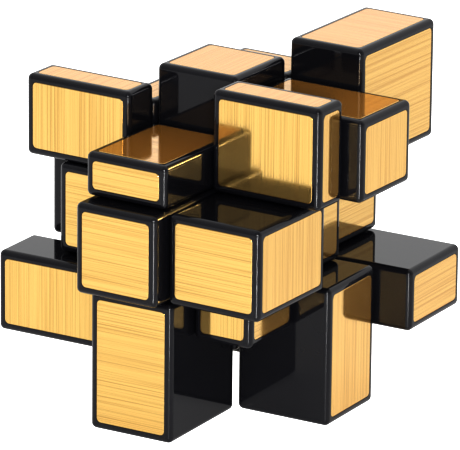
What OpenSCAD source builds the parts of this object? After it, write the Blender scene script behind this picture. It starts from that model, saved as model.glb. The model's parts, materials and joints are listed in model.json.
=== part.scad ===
// Mirror block cube: a 3 x 3 x 3 layer puzzle whose outer faces lie at six different depths.
// The core centre is on the Z axis, and the three deepest bottom blocks rest on Z = 0.
// The front is -Y, the right is +X and the top is +Z. All sizes are in millimetres.

/* [Cube] */
// Width of a middle row, which is a third of the solved cube
pitch = 19; // [18.9:0.1:19.1]
// How far the two middle depths lie from half the solved cube's width
step_small = 2; // [1.8:0.1:2.2]
// How far the next two depths lie from it
step_medium = 5.9; // [5.6:0.1:6.1]
// How far the shallowest and the deepest face lie from it
step_large = 9.9; // [9.6:0.1:9.9]

/* [Resting state] */
// How far the bottom layer is left turned off square, in degrees
bottom_skew = 1.8; // [0:0.1:2]
// How far the top layer is left turned off square, in degrees
top_skew = -0.4; // [-1:0.1:0]

/* [Blocks] */
// Wall thickness of the hollow blocks
wall = 1.4; // [1.2:0.1:1.5]
// Radius of the rolled edges of a block
edge_radius = 1.3; // [1:0.1:1.4]
// Running clearance of each block, on every cut plane
clearance = 0.15; // [0.1:0.01:0.16]

/* [Foils] */
// Border of bare plastic round each foil
foil_inset = 1.5; // [1.4:0.1:2]
// Thickness of a foil, which is also the depth of its recess
foil_thickness = 0.2; // [0.15:0.05:0.3]
// Radius of a foil's corners
foil_radius = 1; // [0.8:0.1:1.4]

/* [Mechanism] */
// Radius of the sphere that parts the blocks from their feet
sphere_radius = 18.95; // [18.9:0.05:19]
// Distance from the core centre to the cut planes between the feet
inner_cut = 8; // [7.9:0.1:8]
// Inner radius of the edge feet
foot_inner_radius = 12.2; // [12:0.1:13]
// Radius of the neck that joins an edge foot to its block
edge_neck_radius = 2.2; // [1.8:0.1:2.4]
// Radius of the neck that joins a corner foot to its block
corner_neck_radius = 1.2; // [1:0.1:1.2]
// Radius of the core's ball
hub_radius = 6.5; // [6:0.1:7]
// Radius of each of the core's six arms
arm_radius = 3.4; // [3:0.1:3.8]

/* [Axles] */
// Radius of a screw's shank
screw_radius = 1.5; // [1.4:0.05:1.5]
// Radius of a screw's head
head_radius = 3; // [2.6:0.1:3.2]
// Outer radius of a washer
washer_radius = 4.4; // [4:0.1:5]
// Radius of a spring, to the middle of its wire
spring_radius = 2.7; // [2.5:0.05:2.8]
// Diameter of the spring wire
spring_wire = 0.7; // [0.5:0.1:0.8]
// Number of turns of a spring
spring_turns = 4; // [3:1:4]

/* [Hidden] */
$fn = 64;
half_row = pitch / 2;
half_cube = 1.5 * pitch;
// The six depths, from the shallowest to the deepest. Opposite faces of a solved cube add up to 3 rows.
DEPTHS = [for (step = [-step_large, -step_medium, -step_small, step_small, step_medium, step_large])
    half_cube + step];
core_height = DEPTHS[5];

block_sphere = sphere_radius + clearance;
foot_sphere = sphere_radius - clearance;
floor_thickness = 1.2;
neck_fit = 0.02;
neck_overlap = 1.5;
neck_proud = 0.3;
neck_end = block_sphere + floor_thickness + neck_proud;

arm_gap = 0.2;
arm_end = inner_cut + 0.1;
base_start = arm_end + arm_gap;
base_floor = 2;
base_end = DEPTHS[0] - wall;
base_half = inner_cut - clearance;
cap_half = half_row - clearance - wall;
flange_height = 1;
flange_fit = 0.02;
pocket_radius = 5.6;
screw_start = 3.2;
shank_overlap = 0.5;
bore_start = 3;
bore_fit = 0.02;
head_height = 1.7;
head_gap = 0.3;
washer_height = 0.6;
head_start = base_end - head_gap - head_height;
slot_width = 0.7;
slot_depth = 1;
slot_length = 1.4 * head_radius;

// Each row is one block: its place in the cube, as [x, y, z] from -1 to 1, and the numbers in DEPTHS
// of its outer faces along x, y and z. The state is one that turning the six faces can reach.
NONE = -1;
CORNERS = [
    [[-1, -1, 1], [4, 0, 2]], [[1, -1, 1], [4, 0, 3]],
    [[-1, 1, 1], [1, 3, 0]], [[1, 1, 1], [2, 5, 4]],
    [[-1, -1, -1], [5, 1, 2]], [[1, -1, -1], [1, 2, 0]],
    [[-1, 1, -1], [3, 4, 5]], [[1, 1, -1], [5, 3, 1]]
];
EDGES = [
    [[0, -1, 1], [NONE, 4, 0]], [[-1, 0, 1], [0, NONE, 1]],
    [[1, 0, 1], [5, NONE, 2]], [[0, 1, 1], [NONE, 1, 2]],
    [[-1, -1, 0], [2, 0, NONE]], [[1, -1, 0], [3, 4, NONE]],
    [[-1, 1, 0], [1, 5, NONE]], [[1, 1, 0], [0, 3, NONE]],
    [[0, -1, -1], [NONE, 4, 5]], [[-1, 0, -1], [3, NONE, 1]],
    [[1, 0, -1], [3, NONE, 5]], [[0, 1, -1], [NONE, 2, 4]]
];
CENTRES = [
    [[0, 0, 1], [NONE, NONE, 3]], [[0, 0, -1], [NONE, NONE, 2]], [[0, -1, 0], [NONE, 5, NONE]],
    [[0, 1, 0], [NONE, 0, NONE]], [[-1, 0, 0], [4, NONE, NONE]], [[1, 0, 0], [1, NONE, NONE]]
];
MIDDLE_CENTRES = [for (block = CENTRES) if (block[0].z == 0) block];

function side_word(sign, low, high) = sign < 0 ? str("_", low) : sign > 0 ? str("_", high) : "";
function place_name(kind, place) = str(kind, side_word(place.z, "bottom", "top"),
    side_word(place.y, "front", "back"), side_word(place.x, "left", "right"));
function corner_name(block) = place_name("corner", block[0]);
function edge_name(block) = place_name("edge", block[0]);
function centre_name(block) = place_name("centre_cap", block[0]);
function foil_name(name) = str("foil_", name);

// Low and high corner of a block, in core coordinates
function low_side(sign, number) =
    sign < 0 ? -DEPTHS[number] : sign > 0 ? half_row + clearance : -half_row + clearance;
function high_side(sign, number) =
    sign > 0 ? DEPTHS[number] : sign < 0 ? -half_row - clearance : half_row - clearance;
function low_corner(block) = [for (a = [0:2]) low_side(block[0][a], block[1][a])];
function high_corner(block) = [for (a = [0:2]) high_side(block[0][a], block[1][a])];

// Lifts a layer from core coordinates to its place, with the small turn it was left at
module in_layer(level) {
    skew = level > 0 ? top_skew : level < 0 ? bottom_skew : 0;
    translate([0, 0, core_height]) rotate([0, 0, skew]) children();
}

// Turns +Z to point along one of the six outward directions
module pointing(direction) {
    turn = direction.x != 0 ? [0, 90 * direction.x, 0]
         : direction.y != 0 ? [-90 * direction.y, 0, 0]
         : direction.z < 0 ? [180, 0, 0] : [0, 0, 0];
    rotate(turn) children();
}

// A bar of the given length whose axis leaves the origin along a vector
module ray(vector, radius, start, end) {
    tilt = acos(vector.z / norm(vector));
    heading = atan2(vector.y, vector.x);
    rotate([0, tilt, heading]) translate([0, 0, start]) cylinder(r = radius, h = end - start);
}

module rounded_rectangle(size, radius) {
    translate([radius, 0]) square([size.x - 2 * radius, size.y]);
    translate([0, radius]) square([size.x, size.y - 2 * radius]);
    for (x = [radius, size.x - radius], y = [radius, size.y - radius])
        translate([x, y]) circle(r = radius);
}

module box_between(low, high) {
    translate(low) cube(high - low);
}

module rounded_box(low, high, radius) {
    size = high - low;
    intersection() {
        translate(low) linear_extrude(size.z) rounded_rectangle([size.x, size.y], radius);
        translate(low) rotate([90, 0, 90]) linear_extrude(size.x)
            rounded_rectangle([size.y, size.z], radius);
        translate([low.x, high.y, low.z]) rotate([90, 0, 0]) linear_extrude(size.y)
            rounded_rectangle([size.x, size.z], radius);
    }
}

// A flat plate let into one outer face of a box, with its outer side flush with that face
module face_plate(low, high, axis, sign, inset, radius) {
    size = high - low - 2 * [inset, inset, inset];
    start = low + [inset, inset, inset];
    if (axis == 0)
        translate([sign > 0 ? high.x - foil_thickness : low.x, start.y, start.z]) rotate([90, 0, 90])
            linear_extrude(foil_thickness) rounded_rectangle([size.y, size.z], radius);
    if (axis == 1)
        translate([start.x, sign > 0 ? high.y : low.y + foil_thickness, start.z]) rotate([90, 0, 0])
            linear_extrude(foil_thickness) rounded_rectangle([size.x, size.z], radius);
    if (axis == 2)
        translate([start.x, start.y, sign > 0 ? high.z - foil_thickness : low.z])
            linear_extrude(foil_thickness) rounded_rectangle([size.x, size.y], radius);
}

// One plate for each outer face of a block
module outer_plates(block, inset, radius) {
    for (axis = [0:2])
        if (block[0][axis] != 0)
            face_plate(low_corner(block), high_corner(block), axis, block[0][axis], inset, radius);
}

module foils(block) {
    color([0.98, 0.81, 0.46]) in_layer(block[0].z) outer_plates(block, foil_inset, foil_radius);
}

// Hollow edge or corner block with a spherical underside and a hole for its foot's neck
module turning_block(block, neck_radius) {
    low = low_corner(block);
    high = high_corner(block);
    thick = [wall, wall, wall];
    color([0.08, 0.08, 0.1]) in_layer(block[0].z) difference() {
        rounded_box(low, high, edge_radius);
        difference() {
            box_between(low + thick, high - thick);
            sphere(r = block_sphere + floor_thickness);
        }
        sphere(r = block_sphere);
        ray(block[0], neck_radius + neck_fit, foot_sphere - neck_overlap, neck_end);
        outer_plates(block, foil_inset, foil_radius);
    }
}

module edge_block(block) {
    turning_block(block, edge_neck_radius);
}

module corner_block(block) {
    turning_block(block, corner_neck_radius);
}

// Open square cap that covers a centre base
module centre_cap(block) {
    depth = DEPTHS[max(block[1])];
    color([0.08, 0.08, 0.1]) in_layer(block[0].z) difference() {
        rounded_box(low_corner(block), high_corner(block), edge_radius);
        pointing(block[0]) box_between([-cap_half, -cap_half, 0], [cap_half, cap_half, depth - wall]);
        difference() {
            sphere(r = block_sphere);
            pointing(block[0]) box_between([-cap_half, -cap_half, 0], [cap_half, cap_half, depth]);
        }
        outer_plates(block, foil_inset, foil_radius);
    }
}

// Foot that hooks under the neighbouring blocks, with the neck that carries its own block
module foot(place, neck_radius) {
    low = [for (a = [0:2])
        place[a] < 0 ? -sphere_radius : place[a] > 0 ? inner_cut + clearance : -base_half];
    high = [for (a = [0:2])
        place[a] > 0 ? sphere_radius : place[a] < 0 ? -inner_cut - clearance : base_half];
    difference() {
        union() {
            intersection() {
                box_between(low, high);
                sphere(r = foot_sphere);
            }
            ray(place, neck_radius, foot_sphere - neck_overlap, neck_end);
        }
        sphere(r = foot_inner_radius);
    }
}

module feet(level) {
    color([0.16, 0.16, 0.18]) in_layer(level) {
        for (block = EDGES) if (block[0].z == level) foot(block[0], edge_neck_radius);
        for (block = CORNERS) if (block[0].z == level) foot(block[0], corner_neck_radius);
    }
}

module feet_top() { feet(1); }
module feet_middle() { feet(0); }
module feet_bottom() { feet(-1); }

// Square base that turns on a screw, with the pocket for its spring, washer and screw head
module centre_base(block) {
    flange_half = cap_half - flange_fit;
    color([0.16, 0.16, 0.18]) in_layer(block[0].z) pointing(block[0]) difference() {
        union() {
            box_between([-base_half, -base_half, base_start], [base_half, base_half, base_end]);
            box_between([-flange_half, -flange_half, base_end - flange_height],
                [flange_half, flange_half, base_end]);
        }
        translate([0, 0, base_start + base_floor]) cylinder(r = pocket_radius, h = base_end);
        cylinder(r = screw_radius + clearance, h = base_end);
    }
}

module centre_base_top() { centre_base(CENTRES[0]); }
module centre_base_bottom() { centre_base(CENTRES[1]); }
module centre_bases_middle() { for (block = MIDDLE_CENTRES) centre_base(block); }
module foil_centre_top() { foils(CENTRES[0]); }
module foil_centre_bottom() { foils(CENTRES[1]); }
module foil_centres_middle() { for (block = MIDDLE_CENTRES) foils(block); }

// Ball with six arms, each bored for its screw
module core() {
    color([0.16, 0.16, 0.18]) in_layer(0) difference() {
        union() {
            sphere(r = hub_radius);
            for (block = CENTRES) pointing(block[0]) cylinder(r = arm_radius, h = arm_end);
        }
        for (block = CENTRES) pointing(block[0]) translate([0, 0, bore_start])
            cylinder(r = screw_radius + bore_fit, h = arm_end);
    }
}

module axle_screw() {
    difference() {
        union() {
            translate([0, 0, screw_start])
                cylinder(r = screw_radius, h = head_start + shank_overlap - screw_start);
            translate([0, 0, head_start]) cylinder(r = head_radius, h = head_height);
        }
        for (angle = [0, 90]) rotate([0, 0, angle])
            translate([-slot_length / 2, -slot_width / 2, head_start + head_height - slot_depth])
                cube([slot_length, slot_width, 2 * slot_depth]);
    }
}

module axle_screws() {
    color([0.75, 0.76, 0.78]) in_layer(0) for (block = CENTRES) pointing(block[0]) axle_screw();
}

module axle_washers() {
    color([0.8, 0.8, 0.82]) in_layer(0) for (block = CENTRES) pointing(block[0])
        translate([0, 0, head_start - washer_height]) difference() {
            cylinder(r = washer_radius, h = washer_height);
            translate([0, 0, -washer_height])
                cylinder(r = screw_radius + clearance, h = 3 * washer_height);
        }
}

// Compression spring: a wire swept round a helix
STEPS_PER_TURN = 12;
WIRE_SIDES = 6;
spring_low = base_start + base_floor + spring_wire / 2;
spring_high = head_start - washer_height - spring_wire / 2;
spring_steps = spring_turns * STEPS_PER_TURN;
function helix_point(step, side) = let (
    turn = 360 * step / STEPS_PER_TURN,
    around = 360 * side / WIRE_SIDES,
    out = spring_radius + spring_wire / 2 * cos(around)
) [out * cos(turn), out * sin(turn),
    spring_low + (spring_high - spring_low) * step / spring_steps + spring_wire / 2 * sin(around)];

module spring() {
    points = [for (step = [0:spring_steps], side = [0:WIRE_SIDES - 1]) helix_point(step, side)];
    sides = [for (step = [0:spring_steps - 1], side = [0:WIRE_SIDES - 1]) let (
        here = step * WIRE_SIDES, next = here + WIRE_SIDES, beside = (side + 1) % WIRE_SIDES
    ) [here + side, here + beside, next + beside, next + side]];
    first_end = [for (side = [WIRE_SIDES - 1:-1:0]) side];
    last_end = [for (side = [0:WIRE_SIDES - 1]) spring_steps * WIRE_SIDES + side];
    polyhedron(points, concat(sides, [first_end, last_end]), convexity = 8);
}

module axle_springs() {
    color([0.7, 0.71, 0.74]) in_layer(0) for (block = CENTRES) pointing(block[0]) spring();
}

for (block = CENTRES) centre_cap(block);
for (block = EDGES) edge_block(block);
for (block = CORNERS) corner_block(block);
for (block = EDGES) foils(block);
for (block = CORNERS) foils(block);
foil_centre_top();
foil_centre_bottom();
foil_centres_middle();
feet_top();
feet_middle();
feet_bottom();
centre_base_top();
centre_bases_middle();
centre_base_bottom();
core();
axle_screws();
axle_washers();
axle_springs();
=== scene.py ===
"""Looks of the mirror block cube: gloss black blocks with brushed gold foils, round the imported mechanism.

Lengths are in metres in the part's own frame: the cube stands on Z = 0, with its core on the Z axis.
Each block is built in the square frame of its layer, and then turned with that layer.
"""

import json
import math
import random

import bmesh
import bpy
from mathutils import Matrix, Vector

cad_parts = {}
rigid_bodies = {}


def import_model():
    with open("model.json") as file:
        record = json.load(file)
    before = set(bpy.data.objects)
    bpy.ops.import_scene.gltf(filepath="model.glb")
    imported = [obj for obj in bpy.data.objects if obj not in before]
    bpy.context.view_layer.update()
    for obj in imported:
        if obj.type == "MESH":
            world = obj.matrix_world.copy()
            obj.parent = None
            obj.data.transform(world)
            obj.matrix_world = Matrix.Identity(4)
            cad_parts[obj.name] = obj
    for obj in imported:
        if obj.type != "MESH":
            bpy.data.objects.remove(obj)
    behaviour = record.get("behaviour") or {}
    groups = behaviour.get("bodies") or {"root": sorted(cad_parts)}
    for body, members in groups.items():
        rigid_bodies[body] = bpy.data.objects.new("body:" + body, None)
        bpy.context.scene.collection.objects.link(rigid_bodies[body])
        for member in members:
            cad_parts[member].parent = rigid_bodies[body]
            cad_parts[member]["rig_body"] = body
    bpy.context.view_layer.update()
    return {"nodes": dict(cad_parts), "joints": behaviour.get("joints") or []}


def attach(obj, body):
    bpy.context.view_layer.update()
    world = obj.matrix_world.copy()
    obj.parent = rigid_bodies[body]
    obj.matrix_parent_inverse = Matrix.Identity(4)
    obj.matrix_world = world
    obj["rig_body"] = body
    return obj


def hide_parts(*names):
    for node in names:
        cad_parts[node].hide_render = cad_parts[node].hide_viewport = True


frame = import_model()

MM = 0.001
NODES = frame["nodes"]
CORE = Vector(frame["joints"][0]["pos_m"])

# How far each layer is left turned off square, in degrees, as in the part's source
LAYER_SKEW = {"top_layer": -0.4, "bottom_layer": 1.8}

# Blocks
EDGE_RADIUS = 1.15 * MM
EDGE_SEGMENTS = 7
BLOCK_SPHERE = 19.1 * MM
CAP_HALF = 7.95 * MM
WALL = 1.4 * MM

# Foils, each in a recess of its own
FOIL_INSET = 1.5 * MM
FOIL_RADIUS = 1 * MM
FOIL_DEPTH = 0.2 * MM
FOIL_GAP = 0.04 * MM
FOIL_RIM = 0.16 * MM
CUT_ABOVE = 0.5 * MM
CORNER_STEPS = 8
RIM_STEPS = 3
UV_SPAN = 100 * MM

# The six depths that outer faces lie at, from the core, and the numbers of the two middle ones
DEPTHS = [18.6 * MM, 22.6 * MM, 26.5 * MM, 30.5 * MM, 34.4 * MM, 38.4 * MM]
MIDDLE_DEPTHS = (2, 3)
END_DEPTHS = (0, 5)

# The axis that the hairlines of each centre run along
CENTRE_BRUSHED = {
    "centre_cap_front": 0,
    "centre_cap_back": 0,
    "centre_cap_right": 1,
    "centre_cap_left": 1,
    "centre_cap_top": 1,
    "centre_cap_bottom": 1,
}


# ---------------------------------------------------------------- frame and places


def place_of(name):
    """-1, 0 or 1 along x, y and z: where a block sits in the cube, from the words in its name."""
    words = name.split("_")
    pairs = (("left", "right"), ("front", "back"), ("bottom", "top"))
    return [(high in words) - (low in words) for low, high in pairs]


def layer_turn(body):
    """The small turn about Z that a body's layer was left at."""
    return Matrix.Rotation(math.radians(LAYER_SKEW.get(body, 0)), 4, "Z")


def block_box(name):
    """Low and high corner of a CAD block in the square frame of its layer."""
    node = NODES[name]
    turn_back = layer_turn(node["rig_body"]).inverted()
    points = [turn_back @ vertex.co for vertex in node.data.vertices]
    low = Vector([min(point[a] for point in points) for a in range(3)])
    high = Vector([max(point[a] for point in points) for a in range(3)])
    return low, high


def outer_axes(place):
    """The axes along which a block reaches the outside of the cube."""
    return [a for a in range(3) if place[a] != 0]


def depth_number(name, axis):
    """Which of the six depths a block's outer face lies at."""
    low, high = block_box(name)
    face = high[axis] if place_of(name)[axis] > 0 else low[axis]
    depth = abs(face - CORE[axis])
    return min(range(len(DEPTHS)), key=lambda number: abs(DEPTHS[number] - depth))


def brushed_axis(name, axis):
    """The axis that the hairlines of one outer face run along.

    They were brushed before the cube was scrambled. The faces of the two middle depths, 2 and 3, are
    brushed towards the block's face of depth 0 or 5, and the others towards its face of depth 2 or 3.
    """
    if name in CENTRE_BRUSHED:
        return CENTRE_BRUSHED[name]
    place = place_of(name)
    numbers = {a: depth_number(name, a) for a in outer_axes(place)}
    aims = END_DEPTHS if numbers[axis] in MIDDLE_DEPTHS else MIDDLE_DEPTHS
    aimed = [a for a, number in numbers.items() if a != axis and number in aims]
    return aimed[0] if aimed else place.index(0)


# ---------------------------------------------------------------- mesh helpers


def new_piece(name, mesh):
    piece = bpy.data.objects.new(name, mesh)
    bpy.context.scene.collection.objects.link(piece)
    return piece


def mesh_from(name, build):
    """A mesh filled by a function that works on a bmesh."""
    bm = bmesh.new()
    build(bm)
    bmesh.ops.recalc_face_normals(bm, faces=bm.faces)
    mesh = bpy.data.meshes.new(name)
    bm.to_mesh(mesh)
    bm.free()
    return mesh


def add_box(bm, low, high):
    """Adds a box and returns its new vertices."""
    made = bmesh.ops.create_cube(bm, size=1)["verts"]
    size = high - low
    bmesh.ops.scale(bm, vec=size, verts=made)
    bmesh.ops.translate(bm, vec=(low + high) / 2, verts=made)
    return made


def add_ball(bm, centre, radius):
    made = bmesh.ops.create_uvsphere(bm, u_segments=96, v_segments=48, radius=radius)["verts"]
    bmesh.ops.translate(bm, vec=centre, verts=made)


def boolean(piece, cutter, operation):
    """Applies one boolean operation to a piece and removes the cutter."""
    modifier = piece.modifiers.new("cut", "BOOLEAN")
    modifier.operation = operation
    modifier.solver = "EXACT"
    modifier.object = cutter
    bpy.context.view_layer.update()
    shown = piece.evaluated_get(bpy.context.evaluated_depsgraph_get())
    mesh = bpy.data.meshes.new_from_object(shown)
    piece.modifiers.clear()
    old = piece.data
    piece.data = mesh
    bpy.data.meshes.remove(old)
    bpy.data.objects.remove(cutter)


def smooth(piece, angle=32):
    """Rounded edges shade smoothly, flat faces stay flat and sharp edges stay sharp."""
    for polygon in piece.data.polygons:
        polygon.use_smooth = True
    piece.data.set_sharp_from_angle(angle=math.radians(angle))
    normals = piece.modifiers.new("flat faces", "WEIGHTED_NORMAL")
    normals.mode = "FACE_AREA"
    normals.keep_sharp = True
    normals.weight = 100


# ---------------------------------------------------------------- foils


def face_span(low, high, place, axis):
    """The rectangle of a face's recess: its low and high corner, with both on the outer face."""
    start = low + Vector((FOIL_INSET,) * 3)
    end = high - Vector((FOIL_INSET,) * 3)
    face = high[axis] if place[axis] > 0 else low[axis]
    start[axis] = face
    end[axis] = face
    return start, end


def rounded_outline(width, height, radius):
    """Points round a rectangle with rounded corners, centred on the origin, counter-clockwise."""
    points = []
    for corner, (sx, sy) in enumerate([(1, 1), (-1, 1), (-1, -1), (1, -1)]):
        for step in range(CORNER_STEPS + 1):
            angle = math.radians(90 * (corner + step / CORNER_STEPS))
            points.append((
                sx * (width / 2 - radius) + radius * math.cos(angle),
                sy * (height / 2 - radius) + radius * math.sin(angle),
            ))
    return points


def add_rings(bm, rings):
    """Joins rings of points with quads, and closes both ends with flat faces."""
    loops = [[bm.verts.new(point) for point in ring] for ring in rings]
    count = len(loops[0])
    for lower, upper in zip(loops, loops[1:]):
        for i in range(count):
            j = (i + 1) % count
            bm.faces.new((lower[i], lower[j], upper[j], upper[i]))
    bm.faces.new(loops[-1])
    bm.faces.new(loops[0][::-1])


def face_rings(low, high, place, axis, profile):
    """Rounded rings within a face's recess, one for each pair of its profile.

    The first of a pair is how far the ring lies inside the recess's outline, and the second how far
    it lies under the face.
    """
    start, end = face_span(low, high, place, axis)
    u_axis, v_axis = [a for a in range(3) if a != axis]
    middle = (start + end) / 2
    width = end[u_axis] - start[u_axis]
    height = end[v_axis] - start[v_axis]
    rings = []
    for shrink, depth in profile:
        ring = []
        for u, v in rounded_outline(width - 2 * shrink, height - 2 * shrink, FOIL_RADIUS - shrink):
            point = middle.copy()
            point[u_axis] += u
            point[v_axis] += v
            point[axis] -= place[axis] * depth
            ring.append(point)
        rings.append(ring)
    return rings


def foil_profile():
    """A foil's profile for face_rings, from its underside over its rounded rim to its outer side."""
    profile = [(FOIL_GAP, FOIL_DEPTH)]
    for step in range(RIM_STEPS + 1):
        angle = math.radians(90 * step / RIM_STEPS)
        inward = FOIL_GAP + FOIL_RIM * (1 - math.cos(angle))
        profile.append((inward, FOIL_RIM * (1 - math.sin(angle))))
    return profile


def brush_map(mesh, name, rng):
    """A UV map whose U runs along the hairlines of each face, shifted so that no two faces match."""
    layer = mesh.uv_layers.new(name="brushed")
    along = {a: brushed_axis(name, a) for a in outer_axes(place_of(name))}
    shifts = {a: (rng.random(), rng.random()) for a in along}
    for polygon in mesh.polygons:
        axis = mesh.attributes["face_axis"].data[polygon.index].value
        u_axis = along[axis]
        v_axis = 3 - axis - u_axis
        for loop in polygon.loop_indices:
            point = mesh.vertices[mesh.loops[loop].vertex_index].co
            layer.data[loop].uv = (
                point[u_axis] / UV_SPAN + shifts[axis][0],
                point[v_axis] / UV_SPAN + shifts[axis][1],
            )


def make_foils(name, rng):
    """The foils of one block, as one piece."""
    place = place_of(name)
    low, high = block_box(name)

    def build(bm):
        tag = bm.faces.layers.int.new("face_axis")
        for axis in outer_axes(place):
            before = set(bm.faces)
            add_rings(bm, face_rings(low, high, place, axis, foil_profile()))
            for face in bm.faces:
                if face not in before:
                    face[tag] = axis

    mesh = mesh_from(f"brushed_foil_{name}", build)
    brush_map(mesh, name, rng)
    mesh.transform(layer_turn(NODES[name]["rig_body"]))
    piece = new_piece(mesh.name, mesh)
    smooth(piece, 50)
    piece.data.materials.append(GOLD)
    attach(piece, NODES[name]["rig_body"])
    return piece


# ---------------------------------------------------------------- blocks


def make_shell(name):
    """A block with rolled edges, the sphere's hollow under it and a recess for each foil."""
    place = place_of(name)
    low, high = block_box(name)
    is_centre = name in CENTRE_BRUSHED

    def body(bm):
        add_box(bm, low, high)
        bmesh.ops.bevel(bm, geom=bm.edges[:], offset=EDGE_RADIUS, segments=EDGE_SEGMENTS, profile=0.5,
                        affect="EDGES", clamp_overlap=True)

    def recesses(bm):
        for axis in outer_axes(place):
            add_rings(bm, face_rings(low, high, place, axis, [(0, FOIL_DEPTH), (0, -CUT_ABOVE)]))

    def ball(bm):
        add_ball(bm, CORE, BLOCK_SPHERE)

    def well(bm):
        axis = outer_axes(place)[0]
        start = CORE - Vector((CAP_HALF,) * 3)
        end = CORE + Vector((CAP_HALF,) * 3)
        if place[axis] > 0:
            end[axis] = high[axis] - WALL
            start[axis] = CORE[axis]
        else:
            start[axis] = low[axis] + WALL
            end[axis] = CORE[axis]
        add_box(bm, start, end)

    piece = new_piece(f"shell_{name}", mesh_from(f"shell_{name}", body))
    boolean(piece, new_piece("ball", mesh_from("ball", ball)), "DIFFERENCE")
    if is_centre:
        boolean(piece, new_piece("well", mesh_from("well", well)), "DIFFERENCE")
    boolean(piece, new_piece("recess", mesh_from("recess", recesses)), "DIFFERENCE")
    piece.data.transform(layer_turn(NODES[name]["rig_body"]))
    smooth(piece)
    piece.data.materials.clear()
    piece.data.materials.append(BLACK)
    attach(piece, NODES[name]["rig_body"])
    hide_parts(name)
    return piece


# ---------------------------------------------------------------- materials


class Nodes:
    """Short calls for building a material's node tree."""

    def __init__(self, name):
        self.material = bpy.data.materials.new(name)
        self.material.use_nodes = True
        self.tree = self.material.node_tree
        self.shader = self.tree.nodes["Principled BSDF"]

    def add(self, kind, inputs=None, **settings):
        node = self.tree.nodes.new(kind)
        for key, value in settings.items():
            setattr(node, key, value)
        for key, value in (inputs or {}).items():
            if isinstance(value, bpy.types.NodeSocket):
                self.tree.links.new(value, node.inputs[key])
            else:
                node.inputs[key].default_value = value
        return node

    def link(self, source, target):
        self.tree.links.new(source, target)

    def noise(self, vector, scale, detail=2, roughness=0.5):
        made = self.add("ShaderNodeTexNoise", {
            "Vector": vector, "Scale": scale, "Detail": detail, "Roughness": roughness})
        return made.outputs["Fac"]

    def stretch(self, vector, scale):
        return self.add("ShaderNodeMapping", {"Vector": vector, "Scale": scale}).outputs["Vector"]

    def ramp(self, value, low, high, to_low, to_high):
        """Maps low..high to to_low..to_high and clamps it."""
        made = self.add("ShaderNodeMapRange", {
            "Value": value, "From Min": low, "From Max": high, "To Min": to_low, "To Max": to_high})
        return made.outputs["Result"]

    def math(self, operation, first, second):
        made = self.add("ShaderNodeMath", {0: first, 1: second}, operation=operation)
        return made.outputs["Value"]

    def bump(self, height, strength, distance):
        inputs = {"Height": height, "Strength": strength, "Distance": distance}
        return self.add("ShaderNodeBump", inputs).outputs["Normal"]

    def tint(self, factor, first, second):
        made = self.add("ShaderNodeMix", {"Factor": factor}, data_type="RGBA")
        low, high = [socket for socket in made.inputs if socket.type == "RGBA"]
        low.default_value = (*first, 1)
        high.default_value = (*second, 1)
        return [socket for socket in made.outputs if socket.type == "RGBA"][0]


def gold_foil():
    """Mirror gold foil with hairlines brushed along U, under a thin clear film."""
    n = Nodes("gold_foil")
    uv = n.add("ShaderNodeUVMap", uv_map="brushed").outputs["UV"]
    fine = n.noise(n.stretch(uv, (2.5, 700, 1)), 1, detail=1)
    medium = n.noise(n.stretch(uv, (1.6, 300, 1)), 1, detail=1)
    broad = n.noise(n.stretch(uv, (0.8, 90, 1)), 1, detail=1)
    lines = n.math("ADD", n.math("MULTIPLY", fine, 0.35), n.math("MULTIPLY", medium, 0.5))
    lines = n.math("ADD", lines, n.math("MULTIPLY", broad, 0.15))
    shade = n.ramp(lines, 0.38, 0.54, 0.0, 1.0)
    n.link(n.tint(shade, (0.62, 0.39, 0.12), (0.81, 0.565, 0.2)), n.shader.inputs["Base Color"])
    n.link(n.ramp(lines, 0.38, 0.58, 0.14, 0.06), n.shader.inputs["Roughness"])
    n.link(n.bump(lines, 0.08, 0.01 * MM), n.shader.inputs["Normal"])
    tangent = n.add("ShaderNodeTangent", direction_type="UV_MAP", uv_map="brushed")
    n.link(tangent.outputs["Tangent"], n.shader.inputs["Tangent"])
    n.shader.inputs["Metallic"].default_value = 0.92
    n.shader.inputs["Anisotropic"].default_value = 0.8
    n.shader.inputs["Specular Tint"].default_value = (0.6, 0.6, 0.75, 1)
    n.shader.inputs["Sheen Weight"].default_value = 0.5
    n.shader.inputs["Sheen Roughness"].default_value = 0.45
    n.shader.inputs["Sheen Tint"].default_value = (1, 0.42, 0.06, 1)
    n.shader.inputs["Coat Weight"].default_value = 0.6
    n.shader.inputs["Coat Roughness"].default_value = 0.03
    return n.material


def black_plastic():
    """Gloss moulded black plastic."""
    n = Nodes("black_plastic")
    at = n.add("ShaderNodeTexCoord").outputs["Object"]
    cloud = n.noise(at, 90, detail=2)
    dust = n.noise(at, 1400, detail=3, roughness=0.7)
    n.link(n.tint(cloud, (0.009, 0.009, 0.012), (0.013, 0.013, 0.017)), n.shader.inputs["Base Color"])
    n.link(n.ramp(dust, 0.45, 0.75, 0.035, 0.11), n.shader.inputs["Roughness"])
    n.link(n.bump(cloud, 0.12, 0.05 * MM), n.shader.inputs["Normal"])
    n.shader.inputs["IOR"].default_value = 1.43
    return n.material


def inner_plastic():
    """Satin moulded plastic of the feet, the centre bases and the core."""
    n = Nodes("inner_plastic")
    at = n.add("ShaderNodeTexCoord").outputs["Object"]
    grain = n.noise(at, 2600, detail=3, roughness=0.6)
    cloud = n.noise(at, 120, detail=2)
    n.link(n.tint(cloud, (0.012, 0.012, 0.014), (0.022, 0.022, 0.025)), n.shader.inputs["Base Color"])
    n.link(n.ramp(grain, 0.3, 0.7, 0.3, 0.46), n.shader.inputs["Roughness"])
    n.link(n.bump(grain, 0.2, 0.02 * MM), n.shader.inputs["Normal"])
    return n.material


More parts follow.
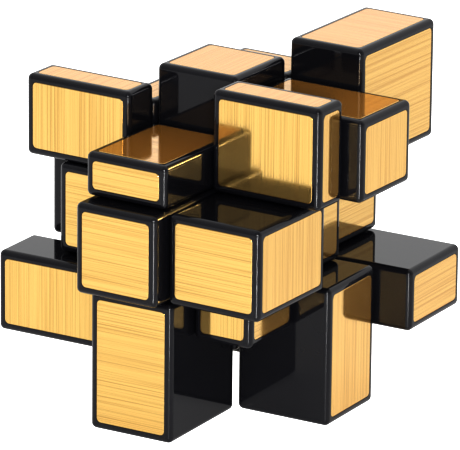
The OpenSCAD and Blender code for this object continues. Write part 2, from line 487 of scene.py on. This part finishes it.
def steel(name, colour, grain):
    """Plated or drawn steel, with marks that are finer across the Z axis where grain is larger."""
    n = Nodes(name)
    at = n.add("ShaderNodeTexCoord").outputs["Object"]
    marks = n.noise(n.stretch(at, (grain, grain, 900)), 1, detail=3)
    darker = tuple(0.7 * c for c in colour)
    n.link(n.tint(marks, darker, colour), n.shader.inputs["Base Color"])
    n.link(n.ramp(marks, 0.3, 0.7, 0.22, 0.4), n.shader.inputs["Roughness"])
    n.link(n.bump(marks, 0.15, 0.02 * MM), n.shader.inputs["Normal"])
    n.shader.inputs["Metallic"].default_value = 1
    return n.material


GOLD = gold_foil()
BLACK = black_plastic()
INNER = inner_plastic()
SCREW_STEEL = steel("screw_steel", (0.62, 0.62, 0.64), 900)
SPRING_STEEL = steel("spring_steel", (0.5, 0.5, 0.52), 300)


# ---------------------------------------------------------------- the object

blocks = [name for name in NODES if name.startswith(("centre_cap_", "edge_", "corner_"))]
chance = random.Random(7)
for name in sorted(blocks):
    make_shell(name)
    foil = make_foils(name, chance)
    if name not in CENTRE_BRUSHED:
        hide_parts(f"foil_{name}")
    elif name in ("centre_cap_top", "centre_cap_bottom"):
        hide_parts(name.replace("centre_cap", "foil_centre"))
    else:
        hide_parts("foil_centres_middle")

KEPT_MATERIALS = {
    "feet_top": INNER,
    "feet_middle": INNER,
    "feet_bottom": INNER,
    "centre_base_top": INNER,
    "centre_bases_middle": INNER,
    "centre_base_bottom": INNER,
    "core": INNER,
    "axle_screws": SCREW_STEEL,
    "axle_washers": SCREW_STEEL,
    "axle_springs": SPRING_STEEL,
}
for name, material in KEPT_MATERIALS.items():
    node = NODES[name]
    node.data.materials.clear()
    node.data.materials.append(material)


# ---------------------------------------------------------------- camera, floor and light

CAMERA_AZIMUTH = 32.1
CAMERA_ELEVATION = 18.0
CAMERA_ROLL = 0.6
CAMERA_DISTANCE = 1.105
CAMERA_LENS = 432
CAMERA_SENSOR = 36
AIM_RIGHT = 1.9 * MM
AIM_UP = -3.8 * MM

LAMP_AZIMUTH = 36.5
LAMP_ELEVATION = 14
LAMP_DISTANCE = 1.35
LAMP_WIDTH = 0.15
LAMP_HEIGHT = 0.13
LAMP_RADIANCE = 150

FLOOR_HALF = 3
SHEET_DROP = 0.1 * MM


def direction(azimuth, elevation):
    """Unit vector from the cube towards a place at that azimuth and elevation."""
    a, e = math.radians(azimuth), math.radians(elevation)
    return Vector((math.sin(a) * math.cos(e), -math.cos(a) * math.cos(e), math.sin(e)))


def camera_right():
    """The level direction towards the camera's right."""
    return Vector((math.cos(math.radians(CAMERA_AZIMUTH)), math.sin(math.radians(CAMERA_AZIMUTH)), 0))


def make_camera():
    back = direction(CAMERA_AZIMUTH, CAMERA_ELEVATION)
    level = camera_right()
    upright = back.cross(level)
    roll = math.radians(CAMERA_ROLL)
    right = math.cos(roll) * level + math.sin(roll) * upright
    up = math.cos(roll) * upright - math.sin(roll) * level
    data = bpy.data.cameras.new("camera")
    data.lens = CAMERA_LENS
    data.sensor_width = CAMERA_SENSOR
    data.clip_start = 0.05
    data.clip_end = 20
    camera = bpy.data.objects.new("camera", data)
    bpy.context.scene.collection.objects.link(camera)
    matrix = Matrix((right, up, back)).transposed().to_4x4()
    matrix.translation = CORE + back * CAMERA_DISTANCE + right * AIM_RIGHT + up * AIM_UP
    camera.matrix_world = matrix
    bpy.context.scene.camera = camera


def make_floor():
    """A polished pale table that only the cube sees, and a plain white sheet under it for the camera.

    The table glows and lights the cube's upright faces. Its glow is weaker towards the camera's right,
    which is painted shade on the table.
    """

    def build(bm):
        bmesh.ops.create_grid(bm, x_segments=1, y_segments=1, size=FLOOR_HALF)

    table = new_piece("table", mesh_from("table", build))
    n = Nodes("table")
    at = n.add("ShaderNodeTexCoord").outputs["Object"]
    rightwards = n.add("ShaderNodeVectorMath", {0: at, 1: camera_right()}, operation="DOT_PRODUCT")
    # painted shade: the table's glow drops from 0.45 to 0.25 towards the camera's right
    glow = n.ramp(rightwards.outputs["Value"], 0.03, 0.12, 0.45, 0.25)
    n.link(glow, n.shader.inputs["Emission Strength"])
    n.shader.inputs["Emission Color"].default_value = (1, 1, 1, 1)
    n.shader.inputs["Base Color"].default_value = (0.8, 0.8, 0.8, 1)
    n.shader.inputs["Roughness"].default_value = 0.05
    table.data.materials.append(n.material)
    table.visible_camera = False

    sheet = new_piece("white_sheet", mesh_from("white_sheet", build))
    sheet.location.z = -SHEET_DROP
    n = Nodes("white_sheet")
    n.shader.inputs["Emission Color"].default_value = (1, 1, 1, 1)
    n.shader.inputs["Emission Strength"].default_value = 1.1
    sheet.data.materials.append(n.material)
    sheet.visible_diffuse = False
    sheet.visible_glossy = False


def make_lamp():
    """An upright elliptical lamp that faces the core, with the same radiance all over."""
    data = bpy.data.lights.new("key_lamp", "AREA")
    data.shape = "ELLIPSE"
    data.size = LAMP_WIDTH
    data.size_y = LAMP_HEIGHT
    area = math.pi * LAMP_WIDTH * LAMP_HEIGHT / 4
    data.energy = LAMP_RADIANCE * math.pi * area
    lamp = bpy.data.objects.new("key_lamp", data)
    bpy.context.scene.collection.objects.link(lamp)
    offset = direction(LAMP_AZIMUTH, LAMP_ELEVATION) * LAMP_DISTANCE
    lamp.location = CORE + offset
    lamp.rotation_mode = "QUATERNION"
    lamp.rotation_quaternion = offset.to_track_quat("Z", "Y")


def make_world():
    """A white studio, brightest behind the cube, with a soft round light about the camera."""
    world = bpy.data.worlds.new("studio")
    bpy.context.scene.world = world
    world.use_nodes = True
    tree = world.node_tree
    backdrop = tree.nodes["Background"]
    backdrop.inputs["Color"].default_value = (1, 1, 1, 1)
    towards = tree.nodes.new("ShaderNodeTexCoord").outputs["Generated"]

    def facing(aim, low, high, to_low, to_high):
        """Maps the cosine of the angle to a direction, from low..high to to_low..to_high."""
        cosine = tree.nodes.new("ShaderNodeVectorMath")
        cosine.operation = "DOT_PRODUCT"
        cosine.inputs[1].default_value = aim
        tree.links.new(towards, cosine.inputs[0])
        made = tree.nodes.new("ShaderNodeMapRange")
        made.interpolation_type = "SMOOTHSTEP"
        values = (("From Min", low), ("From Max", high), ("To Min", to_low), ("To Max", to_high))
        for name, value in values:
            made.inputs[name].default_value = value
        tree.links.new(cosine.outputs["Value"], made.inputs["Value"])
        return made.outputs["Result"]

    level = facing(-direction(CAMERA_AZIMUTH, 0), -1, 1, 0.5, 1.5)
    round_light = facing(direction(CAMERA_AZIMUTH, CAMERA_ELEVATION), 0.96, 0.997, 0, 7)
    total = tree.nodes.new("ShaderNodeMath")
    tree.links.new(level, total.inputs[0])
    tree.links.new(round_light, total.inputs[1])
    tree.links.new(total.outputs["Value"], backdrop.inputs["Strength"])


make_camera()
make_floor()
make_world()
make_lamp()
bpy.context.scene.view_settings.view_transform = "Standard"
bpy.context.scene.view_settings.gamma = 0.7
